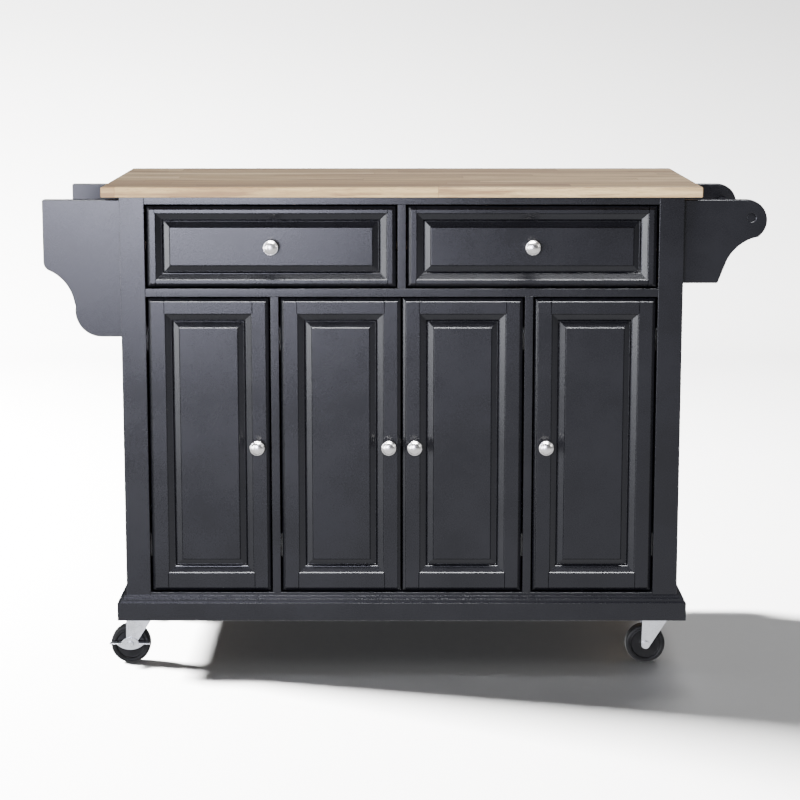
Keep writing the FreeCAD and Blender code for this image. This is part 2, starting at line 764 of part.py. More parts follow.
def caster_fork(place, x, y, has_brake):
    name = f"fork_{place}"
    hole_radius = kingpin_radius + running_clearance
    crown = box(name + "_crown", (x - fork_rear, y - fork_half_width, crown_under),
                (x + fork_front, y + fork_half_width, crown_top))
    raceway = cylinder(name + "_raceway", (x, y, crown_under), "+Z", raceway_radius,
                       raceway_top - crown_under)
    legs = [fork_leg_plate(name + "_leg_front", x, y - leg_inner),
            fork_leg_plate(name + "_leg_rear", x, y + fork_half_width)]
    reach = fork_half_width + axle_overhang
    if has_brake:
        reach = reach + brake_thickness
    axle_x = x - caster_trail
    axle = cylinder(name + "_axle", (axle_x, y - reach, wheel_radius), "+Y",
                    axle_radius, reach + fork_half_width + axle_overhang)
    heads = [cylinder(name + "_axle_head", (axle_x, y - reach - axle_head_height, wheel_radius),
                      "+Y", axle_head_radius, axle_head_height),
             cylinder(name + "_axle_nut", (axle_x, y + fork_half_width, wheel_radius),
                      "+Y", axle_head_radius, axle_nut_height)]
    solid = fuse(name + "_blank", crown, raceway, *legs, axle, *heads)
    bore = cylinder(name + "_bore", (x, y, crown_under - 1), "+Z", hole_radius, 15)
    return node(cut(name, solid, bore), f"caster_fork_{place}")


def caster_wheel(place, x, y):
    bore = axle_radius + running_clearance
    half, web = wheel_half_width, web_half_width
    shoulder, arc_middle = wheel_radius - tread_round, tread_round * 0.293
    wheel = turned(f"wheel_{place}", [
        (bore, -half), (hub_radius, -half), (hub_radius, -web), (rim_radius, -web),
        (rim_radius, -half), (shoulder, -half),
        (wheel_radius, -half + tread_round, wheel_radius - arc_middle, -half + arc_middle),
        (wheel_radius, half - tread_round),
        (shoulder, half, wheel_radius - arc_middle, half - arc_middle),
        (rim_radius, half), (rim_radius, web), (hub_radius, web), (hub_radius, half), (bore, half),
    ])
    return node(move(wheel, x - caster_trail, y, wheel_radius), f"caster_wheel_{place}")


def side_brake(place, x, y):
    """A rocking pedal on the axle, outside the front leg of the fork."""
    name = f"brake_{place}"
    centre_x = x - caster_trail
    pedal, half = brake_pedal_height, brake_half_length
    eye = half - brake_tip
    steps = [
        (-eye, pedal),
        (eye, pedal, 0, -brake_drop),
        (brake_pedal_start, pedal),
        (-brake_pedal_start, pedal, 0, brake_crest),
    ]
    petal = prism(name + "_petal", "XZ_Plane", steps, brake_thickness)
    face = y - fork_half_width - brake_clearance
    move(petal, centre_x, face, wheel_radius)
    low_z, high_z = wheel_radius + pedal - brake_thickness, wheel_radius + pedal
    pedals = [box(f"{name}_pedal_{end}", (start, face - brake_flange, low_z),
                  (start + half - brake_pedal_start, face, high_z))
              for end, start in (("left", centre_x - half), ("right", centre_x + brake_pedal_start))]
    bore = cylinder(name + "_bore", (centre_x, face - brake_thickness - 1, wheel_radius), "+Y",
                    axle_radius + running_clearance, brake_thickness + 2)
    return node(cut(name, fuse(name + "_blank", petal, *pedals), bore), f"caster_brake_{place}")


plates = []
for place, x_side, y_side in corners:
    swivel_x = caster_x * x_side
    swivel_y = caster_y * y_side
    plates.append(caster_plate(place, swivel_x, swivel_y))
    caster_fork(place, swivel_x, swivel_y, x_side < 0)
    caster_wheel(place, swivel_x, swivel_y)
    if x_side < 0:
        side_brake(place, swivel_x, swivel_y)
node(group("caster_mounts", *plates), "caster_plates")


# ---------------------------------------------------------------- check and write

doc.recompute()
failed = [item.Name for item in doc.Objects if {"Invalid", "Error"} & set(item.State)]
if failed:
    raise RuntimeError(f"these features failed: {failed}")
os.makedirs("parts", exist_ok=True)
for piece in nodes:
    if piece.Shape.isNull() or not piece.Shape.isValid():
        raise RuntimeError(f"{piece.Label} has no valid shape")
    piece.Shape.exportStep(f"parts/{piece.Label}.step")
print(f"{len(nodes)} parts written")
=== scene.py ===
"""Rolling kitchen island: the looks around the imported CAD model, in metres."""

import json
import math

import bmesh
import bpy
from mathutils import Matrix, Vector

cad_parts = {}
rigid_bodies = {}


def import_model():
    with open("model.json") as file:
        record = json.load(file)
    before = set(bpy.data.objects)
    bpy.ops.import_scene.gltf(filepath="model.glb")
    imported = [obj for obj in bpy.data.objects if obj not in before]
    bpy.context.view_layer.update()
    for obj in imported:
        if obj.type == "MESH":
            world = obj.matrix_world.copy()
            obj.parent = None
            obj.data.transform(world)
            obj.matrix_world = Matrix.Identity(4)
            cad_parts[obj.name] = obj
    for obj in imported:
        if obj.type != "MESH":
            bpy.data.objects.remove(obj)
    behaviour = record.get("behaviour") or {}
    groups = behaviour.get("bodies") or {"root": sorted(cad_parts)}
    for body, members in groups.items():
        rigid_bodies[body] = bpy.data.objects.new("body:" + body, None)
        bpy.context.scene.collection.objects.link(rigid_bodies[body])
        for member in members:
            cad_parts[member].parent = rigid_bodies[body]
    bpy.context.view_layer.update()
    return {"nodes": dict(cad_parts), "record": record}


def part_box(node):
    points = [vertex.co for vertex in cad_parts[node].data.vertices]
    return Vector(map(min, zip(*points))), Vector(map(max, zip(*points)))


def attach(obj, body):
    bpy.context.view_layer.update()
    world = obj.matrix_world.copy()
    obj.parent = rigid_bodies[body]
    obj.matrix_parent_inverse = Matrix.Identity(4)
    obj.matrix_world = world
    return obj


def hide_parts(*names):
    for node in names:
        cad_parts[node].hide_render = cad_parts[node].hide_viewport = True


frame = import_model()
nodes = frame["nodes"]
body_of = {name: body for body, names in frame["record"]["behaviour"]["bodies"].items()
           for name in names}
slot_of = {part["node"]: part["material_slot"] for part in frame["record"]["subparts"]}
MM = 0.001


# ---------------------------------------------------------------- node material helpers

class Shader:
    """A material whose nodes are made by short calls."""

    def __init__(self, name):
        self.material = bpy.data.materials.new(name)
        self.material.use_nodes = True
        self.tree = self.material.node_tree
        self.surface = self.tree.nodes["Principled BSDF"]
        self.coordinates = self.tree.nodes.new("ShaderNodeTexCoord")
        self.place = self.coordinates.outputs["Object"]

    def node(self, kind, settings=None, **inputs):
        """A node whose inputs are given by name, or as i0, i1 by number."""
        made = self.tree.nodes.new("ShaderNode" + kind)
        for key, value in (settings or {}).items():
            setattr(made, key, value)
        for key, value in inputs.items():
            numbered = key[0] == "i" and key[1:].isdigit()
            socket = made.inputs[int(key[1:]) if numbered else key.replace("_", " ")]
            self.feed(socket, value)
        return made

    def feed(self, socket, value):
        if isinstance(value, bpy.types.NodeSocket):
            self.tree.links.new(value, socket)
        else:
            socket.default_value = value

    def math(self, operation, *values):
        made = self.tree.nodes.new("ShaderNodeMath")
        made.operation = operation
        for socket, value in zip(made.inputs, values):
            self.feed(socket, value)
        return made.outputs[0]

    def scaled(self, vector, x, y, z):
        made = self.tree.nodes.new("ShaderNodeVectorMath")
        made.operation = "MULTIPLY"
        self.feed(made.inputs[0], vector)
        made.inputs[1].default_value = (x, y, z)
        return made.outputs[0]

    def noise(self, scale, detail=3.0, roughness=0.55, distortion=0.0, vector=None):
        made = self.node("TexNoise", Vector=vector or self.place, Scale=scale, Detail=detail,
                         Roughness=roughness, Distortion=distortion)
        return made.outputs[0]

    def ramp(self, factor, *stops):
        made = self.tree.nodes.new("ShaderNodeValToRGB")
        self.feed(made.inputs[0], factor)
        band = made.color_ramp
        while len(band.elements) < len(stops):
            band.elements.new(0.5)
        for element, (position, colour) in zip(band.elements, stops):
            element.position = position
            element.color = (*colour, 1)
        return made.outputs[0]

    def mix(self, factor, a, b):
        made = self.tree.nodes.new("ShaderNodeMix")
        made.data_type = "RGBA"
        self.feed(made.inputs[0], factor)
        for socket, value in ((made.inputs[6], a), (made.inputs[7], b)):
            self.feed(socket, (*value, 1) if isinstance(value, tuple) else value)
        return made.outputs[2]

    def spread(self, value, low, high, start=0.3, end=0.7):
        """A 0-1 texture turned into numbers from low to high."""
        made = self.node("MapRange", Value=value, From_Min=start, From_Max=end, To_Min=low, To_Max=high)
        return made.outputs[0]

    def bump(self, height, distance, strength=1.0, before=None):
        made = self.node("Bump", Height=height, Distance=distance, Strength=strength)
        if before is not None:
            self.feed(made.inputs["Normal"], before)
        return made.outputs[0]

    def finish(self, **values):
        for key, value in values.items():
            self.feed(self.surface.inputs[key.replace("_", " ")], value)
        return self.material


def black_lacquer():
    s = Shader("black_lacquer")
    fine = s.noise(900.0, 2.0)
    peel = s.noise(160.0, 2.0)
    cloud = s.noise(9.0, 4.0)
    grain = s.noise(1.0, 4.0, 0.6, vector=s.scaled(s.place, 420, 420, 16))
    tone = s.ramp(cloud, (0.3, (0.0034, 0.0034, 0.0044)), (0.7, (0.0050, 0.0050, 0.0063)))
    rough = s.math("ADD", s.spread(cloud, 0.25, 0.30), s.spread(fine, -0.02, 0.02))
    first = s.bump(grain, 0.000006, 0.12)
    second = s.bump(peel, 0.00002, 0.1, first)
    return s.finish(Base_Color=tone, Roughness=rough, Normal=s.bump(fine, 0.000003, 0.15, second),
                    Specular_IOR_Level=0.33)


STAVE_WIDTH = 0.0457
WORKTOP_HEIGHT = 0.914


def staves():
    """Oiled hardwood glued from long staves along X, with rings on the ends."""
    s = Shader("butcher_block")
    axes = s.node("SeparateXYZ", Vector=s.place)
    x, y, z = axes.outputs
    row_at = s.math("ADD", s.math("DIVIDE", y, STAVE_WIDTH), 8.5)
    row = s.math("FLOOR", row_at)
    across = s.math("FRACT", row_at)
    row_seed = s.node("TexWhiteNoise", {"noise_dimensions": "1D"}, W=row).outputs["Value"]
    length = s.math("MULTIPLY_ADD", row_seed, 0.31, 0.34)
    along_at = s.math("DIVIDE", s.math("MULTIPLY_ADD", row_seed, 7.3, x), length)
    along = s.math("FRACT", along_at)
    stave = s.node("CombineXYZ", X=row, Y=s.math("FLOOR", along_at), Z=0.0).outputs[0]
    seeds = s.node("TexWhiteNoise", {"noise_dimensions": "3D"}, Vector=stave)
    seed, seed_colour = seeds.outputs["Value"], seeds.outputs["Color"]
    shifted = s.node("VectorMath", {"operation": "MULTIPLY_ADD"}, i0=seed_colour,
                     i1=(9.0, 9.0, 9.0), i2=s.place).outputs[0]
    wander = s.noise(1.0, 2.0, 0.5, vector=s.scaled(shifted, 5, 18, 18))
    bent = s.node("VectorMath", {"operation": "MULTIPLY_ADD"},
                  i0=s.node("CombineXYZ", X=0.0, Y=wander, Z=0.0).outputs[0],
                  i1=(0, 0.02, 0), i2=shifted).outputs[0]
    figure = s.noise(1.0, 5.0, 0.6, 0.4, vector=s.scaled(bent, 4.5, 95, 95))
    fibre = s.noise(1.0, 4.0, 0.7, vector=s.scaled(bent, 22, 900, 900))
    pores = s.noise(1.0, 2.0, 0.5, vector=s.scaled(bent, 60, 1500, 1500))
    tone = s.ramp(seed, (0.0, (0.37, 0.245, 0.145)), (0.2, (0.58, 0.41, 0.225)),
                  (0.4, (0.76, 0.575, 0.335)), (0.6, (0.46, 0.31, 0.185)),
                  (0.8, (0.68, 0.50, 0.285)), (1.0, (0.86, 0.67, 0.415)))
    dark = s.mix(0.7, tone, (0.31, 0.185, 0.105))
    streak = s.noise(1.0, 4.0, 0.62, 0.3, vector=s.scaled(bent, 2.6, 62, 62))
    wood = s.mix(s.ramp(figure, (0.38, (0, 0, 0)), (0.66, (1, 1, 1))), tone, dark)
    wood = s.mix(s.ramp(streak, (0.51, (0, 0, 0)), (0.62, (0.85, 0.85, 0.85))), wood, (0.25, 0.15, 0.10))
    wood = s.mix(s.ramp(fibre, (0.35, (0.30, 0.30, 0.30)), (0.62, (0, 0, 0))), wood, dark)
    wood = s.mix(s.ramp(pores, (0.30, (0.7, 0.7, 0.7)), (0.40, (0, 0, 0))), wood, (0.25, 0.135, 0.065))
    knots = s.node("TexVoronoi", {"feature": "F1"}, Vector=s.scaled(shifted, 3.4, 9, 9), Scale=1.0,
                   Randomness=1.0)
    spot = s.ramp(s.math("ADD", knots.outputs["Distance"], s.math("MULTIPLY", wander, 0.05)),
                  (0.055, (0.75, 0.75, 0.75)), (0.085, (0, 0, 0)))
    wood = s.mix(spot, wood, (0.22, 0.115, 0.055))
    # the glue lines between staves
    side_gap = s.math("MINIMUM", across, s.math("SUBTRACT", 1.0, across))
    end_gap = s.math("MULTIPLY", s.math("MINIMUM", along, s.math("SUBTRACT", 1.0, along)), 10.0)
    seam = s.ramp(s.math("MINIMUM", side_gap, end_gap), (0.004, (0.55, 0.55, 0.55)), (0.016, (0, 0, 0)))
    wood = s.mix(seam, wood, (0.23, 0.125, 0.06))
    # rings across the sawn ends
    centre_y = s.math("MULTIPLY_ADD", row_seed, 2.4, -0.7)
    ring_y = s.math("MULTIPLY", s.math("SUBTRACT", across, centre_y), STAVE_WIDTH)
    ring_z = s.math("ADD", s.math("SUBTRACT", z, WORKTOP_HEIGHT), s.math("MULTIPLY", row_seed, 0.06))
    radius = s.math("SQRT", s.math("ADD", s.math("POWER", ring_y, 2.0), s.math("POWER", ring_z, 2.0)))
    wobble = s.math("MULTIPLY", s.noise(60.0, 3.0), 0.0016)
    rings = s.math("FRACT", s.math("MULTIPLY", s.math("ADD", radius, wobble), 330.0))
    end_speck = s.noise(1400.0, 3.0, 0.7)
    late_wood = s.ramp(rings, (0.0, (0.5, 0.5, 0.5)), (0.55, (0.0, 0.0, 0.0)), (1.0, (0.75, 0.75, 0.75)))
    end_tone = s.mix(late_wood, s.mix(0.25, tone, (0.40, 0.24, 0.125)), (0.30, 0.165, 0.08))
    end_tone = s.mix(s.spread(end_speck, 0.0, 0.35), end_tone, (0.20, 0.11, 0.055))
    facing = s.node("SeparateXYZ", Vector=s.coordinates.outputs["Normal"]).outputs[0]
    is_end = s.math("GREATER_THAN", s.math("ABSOLUTE", facing), 0.72)
    colour = s.mix(is_end, wood, end_tone)
    height = s.math("ADD", s.math("MULTIPLY", fibre, 0.5), s.math("MULTIPLY", pores, 0.5))
    normal = s.bump(height, 0.00012, 0.35)
    return s.finish(Base_Color=colour, Roughness=s.spread(fibre, 0.46, 0.58), Normal=normal,
                    Specular_IOR_Level=0.25)


def bare_wood():
    s = Shader("bare_wood")
    figure = s.noise(1.0, 4.0, 0.6, 0.6, vector=s.scaled(s.place, 70, 5, 70))
    fibre = s.noise(1.0, 3.0, 0.6, vector=s.scaled(s.place, 800, 25, 800))
    tone = s.ramp(figure, (0.3, (0.62, 0.47, 0.30)), (0.7, (0.48, 0.33, 0.19)))
    tone = s.mix(s.spread(fibre, 0.0, 0.35), tone, (0.36, 0.23, 0.12))
    return s.finish(Base_Color=tone, Roughness=s.spread(fibre, 0.45, 0.6),
                    Normal=s.bump(fibre, 0.0001, 0.3))


def metal(name, dark, light, low_rough, high_rough, scale, stretch=(1, 1, 1)):
    s = Shader(name)
    brushed = s.noise(1.0, 3.0, 0.6, vector=s.scaled(s.place, *(scale * k for k in stretch)))
    cloud = s.noise(45.0, 3.0)
    blend = s.math("MULTIPLY_ADD", brushed, 0.6, s.math("MULTIPLY", cloud, 0.4))
    tone = s.ramp(blend, (0.3, dark), (0.7, light))
    rough = s.math("ADD", s.spread(cloud, low_rough, high_rough), s.spread(brushed, -0.03, 0.03))
    return s.finish(Base_Color=tone, Metallic=1.0, Roughness=rough, Normal=s.bump(brushed, 0.00001, 0.3))


def wheel_rubber():
    s = Shader("wheel_rubber")
    grit = s.noise(1300.0, 3.0, 0.7)
    dust = s.noise(70.0, 4.0, 0.6)
    tone = s.ramp(dust, (0.35, (0.004, 0.004, 0.004)), (0.75, (0.010, 0.0095, 0.009)))
    return s.finish(Base_Color=tone, Roughness=s.spread(dust, 0.34, 0.5), Normal=s.bump(grit, 0.00003, 0.4),
                    Specular_IOR_Level=0.15)


materials = {
    "butcher_block": staves(),
    "black_paint": black_lacquer(),
    "bare_wood": bare_wood(),
    "satin_nickel": metal("satin_nickel", (0.55, 0.53, 0.50), (0.74, 0.72, 0.69), 0.24, 0.30, 900,
                          (1, 0.2, 1)),
    "zinc_plate": metal("zinc_plate", (0.58, 0.59, 0.60), (0.80, 0.81, 0.82), 0.22, 0.34, 500),
    "hinge_steel": metal("hinge_steel", (0.40, 0.40, 0.39), (0.56, 0.56, 0.55), 0.20, 0.28, 700),
    "wheel_rubber": wheel_rubber(),
}


def paint(piece, slot):
    piece.data.materials.clear()
    piece.data.materials.append(materials[slot])


# ---------------------------------------------------------------- mesh helpers

SHARP_TURN = 38
MITRE_TURN = 2


def shade(piece, mitred=False):
    """Smooth faces, sharp where they turn by many degrees and along the mitres of a frame."""
    for face in piece.data.polygons:
        face.use_smooth = True
    mesh = bmesh.new()
    mesh.from_mesh(piece.data)
    for edge in mesh.edges:
        run = edge.verts[1].co - edge.verts[0].co
        slanted = min(abs(run.x), abs(run.z)) > 1e-5
        limit = MITRE_TURN if mitred and slanted else SHARP_TURN
        edge.smooth = len(edge.link_faces) == 2 and edge.calc_face_angle(0) < math.radians(limit)
    mesh.to_mesh(piece.data)
    mesh.free()
    weights = piece.modifiers.new("normals", "WEIGHTED_NORMAL")
    weights.keep_sharp = True


def piece_from(mesh, name, node, mitred=False):
    """A finished mesh as a piece that stands for one CAD node."""
    bmesh.ops.recalc_face_normals(mesh, faces=mesh.faces)
    data = bpy.data.meshes.new(name)
    mesh.to_mesh(data)
    mesh.free()
    piece = bpy.data.objects.new(name, data)
    bpy.context.scene.collection.objects.link(piece)
    shade(piece, mitred=mitred)
    paint(piece, slot_of[node])
    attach(piece, body_of[node])
    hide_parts(node)
    return piece


def rounded(points, radius, steps=3):
    """The same line with each inner corner turned into a small curve."""
    result = [points[0]]
    for before, corner, after in zip(points, points[1:], points[2:]):
        a, b, c = Vector(before), Vector(corner), Vector(after)
        reach = min(radius, (b - a).length * 0.45, (c - b).length * 0.45)
        start = b + (a - b).normalized() * reach
        end = b + (c - b).normalized() * reach
        for step in range(steps + 1):
            t = step / steps
            result.append(tuple((1 - t) ** 2 * start + 2 * t * (1 - t) * b + t * t * end))
    result.append(points[-1])
    return result


def along(profile, at):
    """The height of a profile of (run, height) points at one run."""
    if at <= profile[0][0]:
        return profile[0][1]
    for (u0, d0), (u1, d1) in zip(profile, profile[1:]):
        if at <= u1:
            return d0 + (d1 - d0) * (at - u0) / max(u1 - u0, 1e-9)
    return profile[-1][1]


def relief(xs, zs, depth, wanted, face_y, back_y):
    """A carved board seen from -Y: a grid whose depth varies, with a flat back and walls."""
    mesh = bmesh.new()
    xs, zs = sorted(set(round(v, 7) for v in xs)), sorted(set(round(v, 7) for v in zs))
    front, back = {}, {}

    def corner(store, i, k):
        if (i, k) not in store:
            y = back_y if store is back else face_y + depth(xs[i], zs[k])
            store[i, k] = mesh.verts.new((xs[i], y, zs[k]))
        return store[i, k]

    cells = set()
    for i in range(len(xs) - 1):
        for k in range(len(zs) - 1):
            middle = ((xs[i] + xs[i + 1]) / 2, (zs[k] + zs[k + 1]) / 2)
            if wanted(*middle):
                cells.add((i, k))
    for i, k in sorted(cells):
        ring = [(i, k), (i + 1, k), (i + 1, k + 1), (i, k + 1)]
        quad = [corner(front, *at) for at in ring]
        middle = face_y + depth((xs[i] + xs[i + 1]) / 2, (zs[k] + zs[k + 1]) / 2)
        first, second = (quad[0].co.y + quad[2].co.y) / 2, (quad[1].co.y + quad[3].co.y) / 2
        if abs(first - second) < 1e-7:
            mesh.faces.new(quad)
        elif abs(first - middle) <= abs(second - middle):
            mesh.faces.new((quad[0], quad[1], quad[2]))
            mesh.faces.new((quad[0], quad[2], quad[3]))
        else:
            mesh.faces.new((quad[0], quad[1], quad[3]))
            mesh.faces.new((quad[1], quad[2], quad[3]))
        mesh.faces.new([corner(back, *at) for at in reversed(ring)])
        for near, a, b in (((i, k - 1), ring[0], ring[1]), ((i + 1, k), ring[1], ring[2]),
                           ((i, k + 1), ring[2], ring[3]), ((i - 1, k), ring[3], ring[0])):
            if near not in cells:
                mesh.faces.new((corner(front, *b), corner(front, *a), corner(back, *a), corner(back, *b)))
    bmesh.ops.dissolve_limit(mesh, angle_limit=math.radians(0.3), verts=mesh.verts, edges=mesh.edges)
    return mesh


def lathe(profile, centre, segments=64):
    """A profile of (distance towards -Y, radius) points turned about an axis along Y."""
    mesh = bmesh.new()
    rings = []
    for out, radius in profile:
        if radius < 1e-6:
            rings.append([mesh.verts.new((centre[0], centre[1] - out, centre[2]))])
            continue
        rings.append([mesh.verts.new((
            centre[0] + radius * math.cos(2 * math.pi * n / segments), centre[1] - out,
            centre[2] + radius * math.sin(2 * math.pi * n / segments))) for n in range(segments)])
    for a, b in zip(rings, rings[1:]):
        for n in range(segments):
            m = (n + 1) % segments
            face = [a[n % len(a)], a[m % len(a)], b[m % len(b)], b[n % len(b)]]
            mesh.faces.new(list(dict.fromkeys(face)))
    for ring in (rings[0], rings[-1]):
        if len(ring) > 1:
            mesh.faces.new(ring)
    return mesh


def soften(name, width, segments):
    """A CAD node keeps its shape and gets eased edges and its material."""
    piece = nodes[name]
    weld = piece.modifiers.new("weld", "WELD")
    weld.merge_threshold = 0.00002
    flat = piece.modifiers.new("flat", "DECIMATE")
    flat.decimate_type = "DISSOLVE"
    flat.angle_limit = math.radians(0.5)
    bevel = piece.modifiers.new("bevel", "BEVEL")
    bevel.width = width
    bevel.segments = segments
    bevel.limit_method = "ANGLE"
    bevel.angle_limit = math.radians(40)
    bevel.use_clamp_overlap = True
    weights = piece.modifiers.new("normals", "WEIGHTED_NORMAL")
    weights.keep_sharp = False
    paint(piece, slot_of[name])


# ---------------------------------------------------------------- framed doors and drawer fronts

OUTER = [(u * MM, d * MM) for u, d in rounded(
    [(0, 8.2), (0.8, 6.6), (4.9, 4.3), (5.2, 4.2), (5.5, 1.1), (6.6, 0), (8.2, 0)], 0.35)]
STICKING = [(u * MM, d * MM) for u, d in rounded(
    [(-15.0, 0), (-13.5, 0), (-12.4, 1.1), (-12.0, 1.9), (-2.9, 7.2), (-1.9, 7.3), (-0.9, 8.3),
     (-0.5, 9.5), (0, 10.5)], 0.35)]
PANEL = [(u * MM, d * MM) for u, d in rounded(
    [(-3, 10.5), (0.3, 10.5), (0.5, 9.3), (1.5, 8.3), (1.9, 8.3), (2.3, 8.8), (12.0, 4.6), (12.3, 3.3),
     (13.5, 2.02), (15, 2)], 0.35)]
FRONT_THICKNESS = 18 * MM
PANEL_BACK = 13 * MM
JOINT_LINE = 0.8 * MM
JOINT_DEPTH = 2.2 * MM
STICKING_WIDTH = 13.5 * MM
DRAWER_STILE = 30 * MM
DRAWER_RAIL = 26.5 * MM
DOOR_STILE = 45 * MM
DOOR_BOTTOM_RAIL = 48 * MM
DOOR_TOP_RAIL = 42 * MM


def outer_lines(low, high):
    return [low + u for u, _ in OUTER] + [high - u for u, _ in OUTER]


def inner_lines(low, high):
    return [low + u for u, _ in STICKING] + [high - u for u, _ in STICKING]


def framed(prefix, node_frame, node_panel, stile, bottom_rail, top_rail):
    """Stiles and rails with mitred sticking and butt joint lines, around a raised panel."""
    low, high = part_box(node_frame)
    face = low.y
    open_x = (low.x + stile, high.x - stile)
    open_z = (low.z + bottom_rail, high.z - top_rail)
    reach = JOINT_LINE + STICKING_WIDTH
    seams = (open_x[0] - reach, open_x[1] + reach)

    def frame_depth(x, z):
        edge = min(x - low.x, high.x - x, z - low.z, high.z - z)
        out = max(open_x[0] - x, x - open_x[1], open_z[0] - z, z - open_z[1])
        depth = along(OUTER, edge)
        if out < -STICKING[0][0]:
            depth = max(depth, along(STICKING, -out))
        on_rail = max(open_z[0] - z, z - open_z[1]) > STICKING_WIDTH - 1e-6
        if on_rail and min(abs(x - seam) for seam in seams) < 1e-6:
            depth += JOINT_DEPTH
        return depth

    xs = outer_lines(low.x, high.x) + inner_lines(*open_x)
    for seam in seams:
        xs += [seam - JOINT_LINE, seam, seam + JOINT_LINE]
    zs = outer_lines(low.z, high.z) + inner_lines(*open_z)

    def in_frame(x, z):
        return not (open_x[0] < x < open_x[1] and open_z[0] < z < open_z[1])

    mesh = relief(xs, zs, frame_depth, in_frame, face, face + FRONT_THICKNESS)
    piece_from(mesh, prefix + "_joinery", node_frame, mitred=True)

    def panel_depth(x, z):
        edge = min(x - open_x[0], open_x[1] - x, z - open_z[0], open_z[1] - z)
        return along(PANEL, edge)

    steps = [u for u, _ in PANEL]
    xs = [open_x[0] + u for u in steps] + [open_x[1] - u for u in steps]
    zs = [open_z[0] + u for u in steps] + [open_z[1] - u for u in steps]
    mesh = relief(xs, zs, panel_depth, lambda x, z: True, face, face + PANEL_BACK)
    piece_from(mesh, prefix + "_raised_panel", node_panel, mitred=True)


for side in ("left", "right"):
    front = f"drawer_{side}_front"
    framed("drawer_" + side, front, front, DRAWER_STILE, DRAWER_RAIL, DRAWER_RAIL)
for door in ("left", "centre_left", "centre_right", "right"):
    framed("door_" + door, f"door_{door}_frame", f"door_{door}_panel", DOOR_STILE, DOOR_BOTTOM_RAIL,
           DOOR_TOP_RAIL)


# ---------------------------------------------------------------- knobs

KNOB_LENGTH = 25 * MM
KNOB = [(o * MM, r * MM) for o, r in rounded(
    [(-1, 7.6), (1.4, 7.6), (2.2, 6.6), (5, 5.4), (9, 5.5), (12.5, 8.0), (15.5, 12.6), (17.3, 14.0),
     (19.4, 13.9), (20.6, 12.7), (20.5, 11.9), (20.9, 11.4), (22.6, 9.6), (24.0, 6.6), (24.8, 3.2),
     (25.0, 0)], 0.7, 2)]
for name in sorted(nodes):
    if name.endswith("_knob"):
        low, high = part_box(name)
        centre = ((low.x + high.x) / 2, low.y + KNOB_LENGTH, (low.z + high.z) / 2)
        piece_from(lathe(KNOB, centre), name + "_turned", name)


# ---------------------------------------------------------------- base moulding

MOULDING = [(0, 100), (15.4, 100), (16, 100.6), (16, 133.4), (15.8, 133.8), (15.4, 134), (10.0, 134),
            (9.8, 139.9), (9.6, 140.3), (9.2, 140.5), (4.6, 140.5), (4.4, 144.4), (4.2, 144.8),
            (3.8, 145), (0, 145)]
BODY_HALF = (516 * MM, 200.5 * MM)


def moulding_run():
    """The moulding's section of (out, height) points carried round the four corners of the body."""
    mesh = bmesh.new()
    rings = []
    for out, z in MOULDING:
        reach_x, reach_y = (half + out * MM for half in BODY_HALF)
        rings.append([mesh.verts.new((sx * reach_x, sy * reach_y, z * MM))
                      for sx, sy in ((-1, -1), (1, -1), (1, 1), (-1, 1))])
    for a, b in zip(rings, rings[1:] + rings[:1]):
        for n in range(4):
            m = (n + 1) % 4
            mesh.faces.new((a[n], a[m], b[m], b[n]))
    piece_from(mesh, "base_moulding_run", "base_moulding")


moulding_run()


# ---------------------------------------------------------------- wheels

WHEEL = [(o * MM, r * MM) for o, r in rounded(
    [(-9.5, 4.2), (-12, 4.2), (-12, 8.6), (-10.2, 9.4), (-9.6, 10.6), (-8.4, 11.4), (-8.4, 26.6),
     (-10.4, 27.6), (-11.6, 28.6), (-11.0, 29.4), (-12.0, 30.2), (-12.0, 34.0), (-9.6, 36.9),
     (-6.5, 37.5), (6.5, 37.5), (9.6, 36.9), (12.0, 34.0), (12.0, 30.2), (11.0, 29.4), (11.6, 28.6),
     (10.4, 27.6), (8.4, 26.6), (8.4, 11.4), (9.6, 10.6), (10.2, 9.4), (12, 8.6), (12, 4.2),
     (9.5, 4.2)], 0.8, 2)]
for name in sorted(nodes):
    if name.startswith("caster_wheel"):
        low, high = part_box(name)
        centre = tuple((low + high) / 2)
        piece_from(lathe(WHEEL, centre, 96), name.replace("caster_", "") + "_tyre", name)


# ---------------------------------------------------------------- the CAD nodes that stay

# the width in mm and the segments of each node's eased edges
PLAIN_EDGE = (0.45, 2)
EDGES = {
    "butcher_block_top": (2.2, 4), "corner_posts": (1.0, 2), "side_panel_left": (0.5, 2),
    "side_panel_right": (0.5, 2), "back_panel": (0.5, 2), "bottom_panel": (0.6, 2),
    "middle_panel": (0.6, 2), "partition_left": (0.6, 2), "partition_right": (0.6, 2),
    "drawer_divider": (0.6, 2), "top_rails": (0.6, 2), "corner_blocks": (0.8, 2),
    "shelf_left": (0.8, 2), "shelf_centre": (0.8, 2), "shelf_right": (0.8, 2), "shelf_pins": (0.3, 2),
    "drawer_runners": (0.6, 2), "hinge_plates": (0.5, 2), "spice_rack_end_boards": (2.0, 3),
    "spice_rack_shelves": (1.0, 2), "spice_rack_rails": (1.2, 3), "towel_bracket_front": (2.0, 3),
    "towel_bracket_rear": (2.0, 3), "towel_bar": (0.8, 2), "caster_plates": (0.3, 2),
}
for name in sorted(nodes):
    if nodes[name].hide_render:
        continue
    width, segments = EDGES.get(name, PLAIN_EDGE)
    soften(name, width * MM, segments)


# ---------------------------------------------------------------- floor, light and camera

